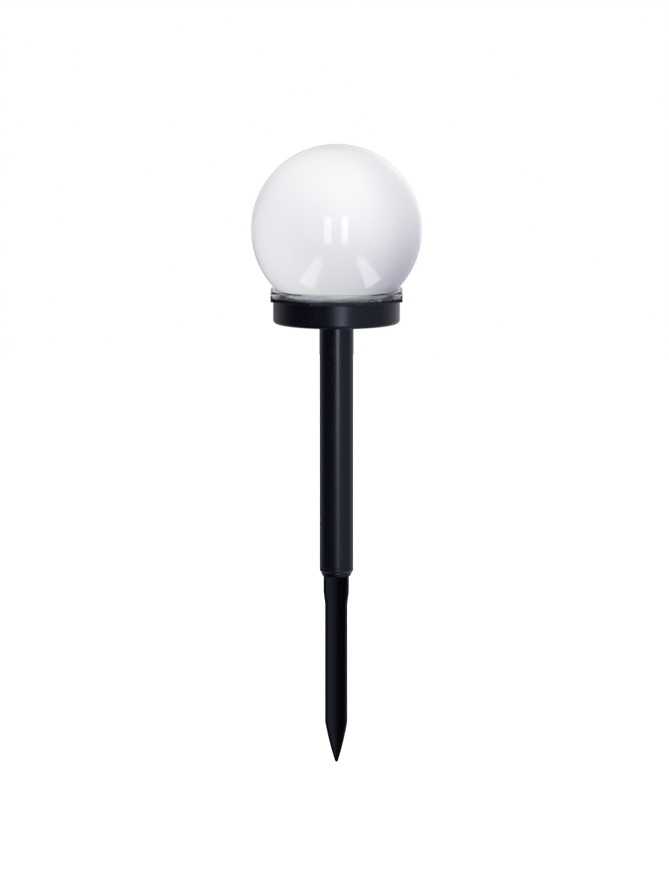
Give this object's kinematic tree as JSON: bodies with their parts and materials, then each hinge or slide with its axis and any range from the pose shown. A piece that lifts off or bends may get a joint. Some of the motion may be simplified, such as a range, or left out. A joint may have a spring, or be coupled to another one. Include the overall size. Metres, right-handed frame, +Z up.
{
  "type": "garden globe light",
  "caption": "Solar garden globe light: milky globe on a clear octagonal ring, black head with battery and switch, round stake tube and a trough-shaped ground spike.",
  "frame": {"origin": "on the axis at the ground line, where the spike's blade ends and its stop ring begins", "axes": "+Z up along the tube to the globe, -Y towards the front, where the spike's trough opens"},
  "size_m": [0.1, 0.1, 0.3641],
  "materials": {
    "milky_shell": "glossy, milky white",
    "clear_plastic": "glossy, clear",
    "black_plastic": "satin, bluish black",
    "black_tube": "satin, bluish black",
    "panel_white": "matte laminate",
    "cell_blue": "dark blue silicon",
    "clear_resin": "clear poured resin",
    "lamp_lens": "clear lens",
    "tinned_metal": "tinned",
    "board_green": "solder mask",
    "chip_black": "moulded",
    "ferrite": "sintered",
    "copper_winding": "enamelled copper",
    "cell_steel": "nickel-plated",
    "wrap_green": "shrink film",
    "screw_steel": "zinc-plated",
    "gasket_rubber": "soft",
    "wire_red": "insulation",
    "wire_black": "insulation",
    "wire_white": "insulation"
  },
  "bodies": {
    "spike": {"ground_spike": "black_plastic"},
    "tube": {"stake_tube": "black_tube"},
    "head": {"battery_cup": "black_plastic", "housing_gasket": "gasket_rubber", "top_plate": "black_plastic", "panel_board": "panel_white", "solar_cells": "cell_blue", "panel_resin": "clear_resin", "leds": "lamp_lens", "led_leads": "tinned_metal", "circuit_board": "board_green", "inductor_core": "ferrite", "inductor_winding": "copper_winding", "driver_chip": "chip_black", "battery_cell": "cell_steel", "battery_wrap": "wrap_green", "plus_contact": "tinned_metal", "minus_contact": "tinned_metal", "battery_spring": "tinned_metal", "housing_screws": "screw_steel", "board_screws": "screw_steel", "switch_screws": "screw_steel", "switch_body": "chip_black", "switch_pins": "tinned_metal", "panel_wire_red": "wire_red", "panel_wire_black": "wire_black", "battery_wire_red": "wire_red", "battery_wire_black": "wire_black", "switch_wires": "wire_white"},
    "diffuser": {"globe": "milky_shell", "lock_ring": "clear_plastic"},
    "switch_slider": {"switch_knob": "black_tube"},
    "battery_lid": {"battery_door": "black_plastic", "door_screw": "screw_steel"}
  },
  "joints": [
    {"name": "tube_lift", "type": "slide", "parent": "spike", "child": "tube", "axis": [0, 0, 1], "range_m": [0, 0.025]},
    {"name": "head_lift", "type": "slide", "parent": "tube", "child": "head", "axis": [0, 0, 1], "range_m": [0, 0.022]},
    {"name": "globe_twist", "type": "hinge", "parent": "head", "child": "diffuser", "pos_m": [0, 0, 0.165], "axis": [0, 0, 1], "range_deg": [0, 16]},
    {"name": "switch_slide", "type": "slide", "parent": "head", "child": "switch_slider", "axis": [1, 0, 0], "range_m": [0, 0.002]},
    {"name": "door_hinge", "type": "hinge", "parent": "head", "child": "battery_lid", "pos_m": [-0.022, 0.0186, 0.1503], "axis": [0, 1, 0], "range_deg": [0, 90]}
  ]
}
